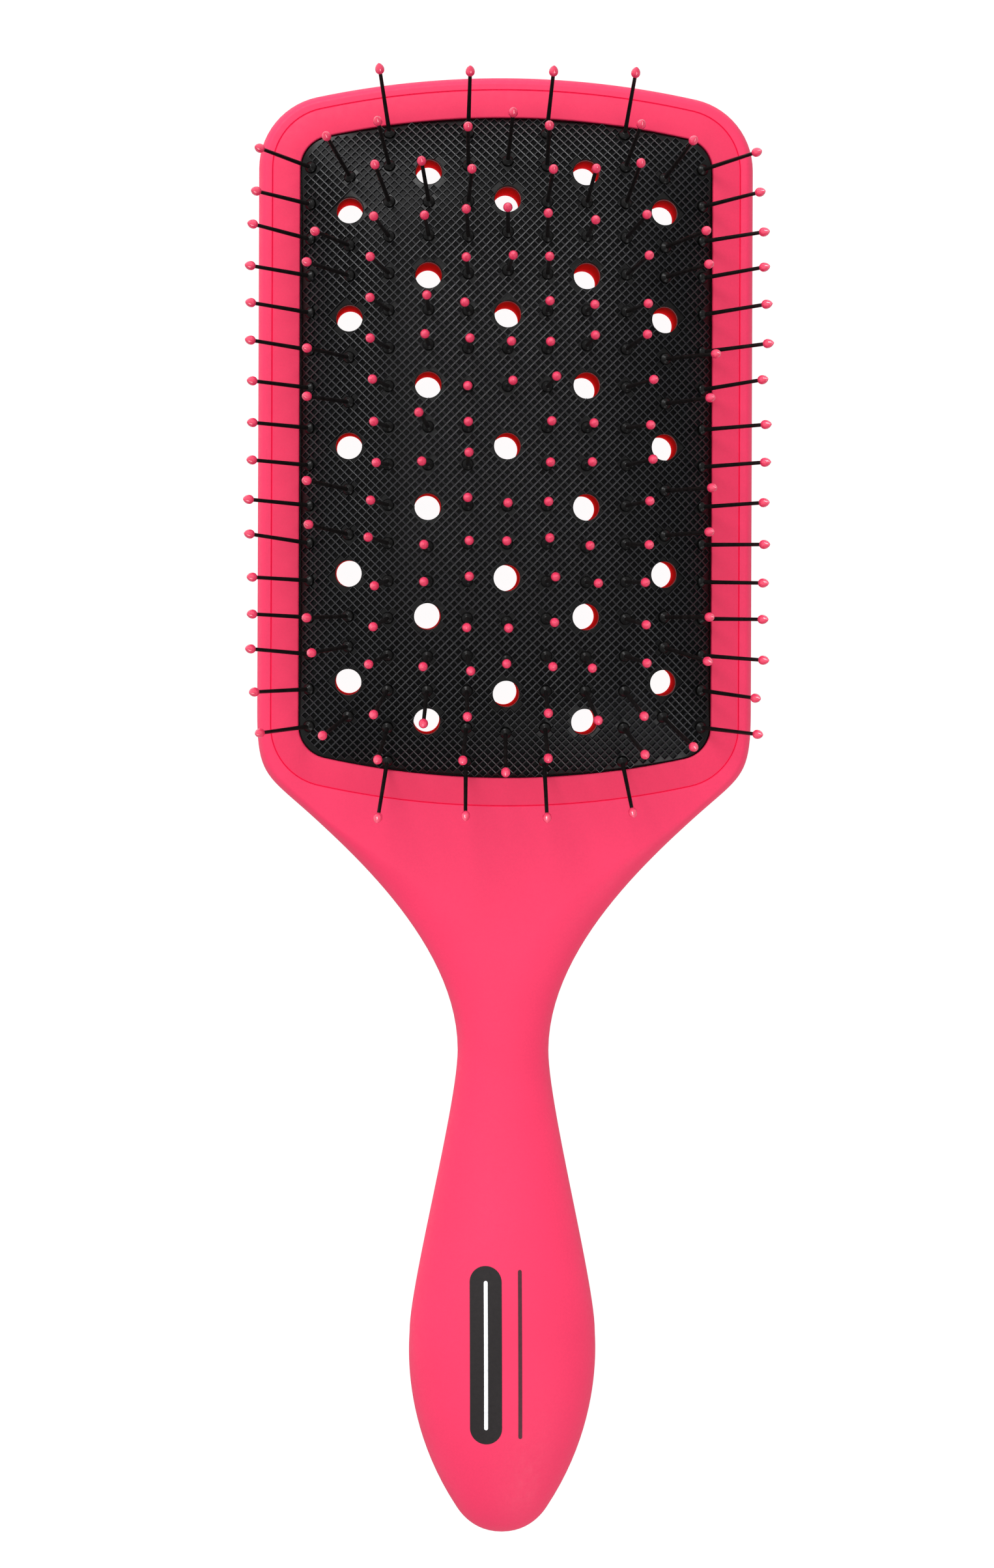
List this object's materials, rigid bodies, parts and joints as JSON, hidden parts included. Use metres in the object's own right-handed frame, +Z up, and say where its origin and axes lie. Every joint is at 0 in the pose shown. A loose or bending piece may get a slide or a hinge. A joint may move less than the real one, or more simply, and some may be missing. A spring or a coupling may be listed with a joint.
{
  "type": "paddle hair brush",
  "caption": "Cushioned paddle hair brush: broad flat head with a domed vented rubber pad, ball-tipped pins that lean, and a rounded one-piece handle.",
  "frame": {"origin": "under the middle of the whole brush, on the surface that its back lies on", "axes": "+X across the head, +Y from the handle to the head, +Z up along the pins; the brush lies on its back"},
  "size_m": [0.0934, 0.2666, 0.0398],
  "materials": {
    "soft_touch_pink": "soft-touch matte coral pink",
    "frame_pink": "soft-touch matte coral pink",
    "black_rubber": "matt, finely checkered",
    "black_nylon": "satin",
    "pink_bead": "clear gloss resin tips of the pins",
    "black_inlay": "satin gloss"
  },
  "bodies": {
    "handle": {"handle_body": "soft_touch_pink", "front_frame": "frame_pink", "grip_badge": "black_inlay"},
    "cushion_pad": {"cushion": "black_rubber"},
    "pin_row_left_5": {"pins_left_5": "black_nylon"},
    "pin_row_left_4": {"pins_left_4_run_1": "black_nylon", "pins_left_4_run_2": "black_nylon", "pins_left_4_run_3": "black_nylon", "pins_left_4_run_4": "black_nylon", "pins_left_4_run_5": "black_nylon", "pins_left_4_run_6": "black_nylon"},
    "pin_row_left_3": {"pins_left_3": "black_nylon"},
    "pin_row_left_2": {"pins_left_2_run_1": "black_nylon", "pins_left_2_run_2": "black_nylon", "pins_left_2_run_3": "black_nylon", "pins_left_2_run_4": "black_nylon", "pins_left_2_run_5": "black_nylon"},
    "pin_row_left_1": {"pins_left_1": "black_nylon"},
    "pin_row_middle": {"pins_middle_run_1": "black_nylon", "pins_middle_run_2": "black_nylon", "pins_middle_run_3": "black_nylon", "pins_middle_run_4": "black_nylon", "pins_middle_run_5": "black_nylon", "pins_middle_run_6": "black_nylon"},
    "pin_row_right_1": {"pins_right_1": "black_nylon"},
    "pin_row_right_2": {"pins_right_2_run_1": "black_nylon", "pins_right_2_run_2": "black_nylon", "pins_right_2_run_3": "black_nylon", "pins_right_2_run_4": "black_nylon", "pins_right_2_run_5": "black_nylon"},
    "pin_row_right_3": {"pins_right_3": "black_nylon"},
    "pin_row_right_4": {"pins_right_4_run_1": "black_nylon", "pins_right_4_run_2": "black_nylon", "pins_right_4_run_3": "black_nylon", "pins_right_4_run_4": "black_nylon", "pins_right_4_run_5": "black_nylon", "pins_right_4_run_6": "black_nylon"},
    "pin_row_right_5": {"pins_right_5": "black_nylon"}
  },
  "joints": [
    {"name": "cushion_press", "type": "slide", "parent": "handle", "child": "cushion_pad", "axis": [0, 0, -1], "range_m": [0, 0.002], "stiffness_N_per_m": 1500, "deforming": ["cushion"]},
    {"name": "pins_lean_left_5", "type": "hinge", "parent": "handle", "child": "pin_row_left_5", "pos_m": [-0.03575, 0.06535, 0.0126], "axis": [0, 1, 0], "range_deg": [-8, 8], "stiffness_Nm_per_rad": 0.003},
    {"name": "pins_lean_left_4", "type": "hinge", "parent": "cushion_pad", "child": "pin_row_left_4", "pos_m": [-0.0286, 0.06535, 0.0179], "axis": [0, 1, 0], "range_deg": [-8, 8], "stiffness_Nm_per_rad": 0.003},
    {"name": "pins_lean_left_3", "type": "hinge", "parent": "cushion_pad", "child": "pin_row_left_3", "pos_m": [-0.02145, 0.06535, 0.0201], "axis": [0, 1, 0], "range_deg": [-8, 8], "stiffness_Nm_per_rad": 0.003},
    {"name": "pins_lean_left_2", "type": "hinge", "parent": "cushion_pad", "child": "pin_row_left_2", "pos_m": [-0.0143, 0.06535, 0.0209], "axis": [0, 1, 0], "range_deg": [-8, 8], "stiffness_Nm_per_rad": 0.003},
    {"name": "pins_lean_left_1", "type": "hinge", "parent": "cushion_pad", "child": "pin_row_left_1", "pos_m": [-0.00715, 0.06535, 0.021], "axis": [0, 1, 0], "range_deg": [-8, 8], "stiffness_Nm_per_rad": 0.003},
    {"name": "pins_lean_middle", "type": "hinge", "parent": "cushion_pad", "child": "pin_row_middle", "pos_m": [0, 0.06535, 0.021], "axis": [0, 1, 0], "range_deg": [-8, 8], "stiffness_Nm_per_rad": 0.003},
    {"name": "pins_lean_right_1", "type": "hinge", "parent": "cushion_pad", "child": "pin_row_right_1", "pos_m": [0.00715, 0.06535, 0.021], "axis": [0, 1, 0], "range_deg": [-8, 8], "stiffness_Nm_per_rad": 0.003},
    {"name": "pins_lean_right_2", "type": "hinge", "parent": "cushion_pad", "child": "pin_row_right_2", "pos_m": [0.0143, 0.06535, 0.0209], "axis": [0, 1, 0], "range_deg": [-8, 8], "stiffness_Nm_per_rad": 0.003},
    {"name": "pins_lean_right_3", "type": "hinge", "parent": "cushion_pad", "child": "pin_row_right_3", "pos_m": [0.02145, 0.06535, 0.0201], "axis": [0, 1, 0], "range_deg": [-8, 8], "stiffness_Nm_per_rad": 0.003},
    {"name": "pins_lean_right_4", "type": "hinge", "parent": "cushion_pad", "child": "pin_row_right_4", "pos_m": [0.0286, 0.06535, 0.0179], "axis": [0, 1, 0], "range_deg": [-8, 8], "stiffness_Nm_per_rad": 0.003},
    {"name": "pins_lean_right_5", "type": "hinge", "parent": "handle", "child": "pin_row_right_5", "pos_m": [0.03575, 0.06535, 0.0126], "axis": [0, 1, 0], "range_deg": [-8, 8], "stiffness_Nm_per_rad": 0.003}
  ]
}
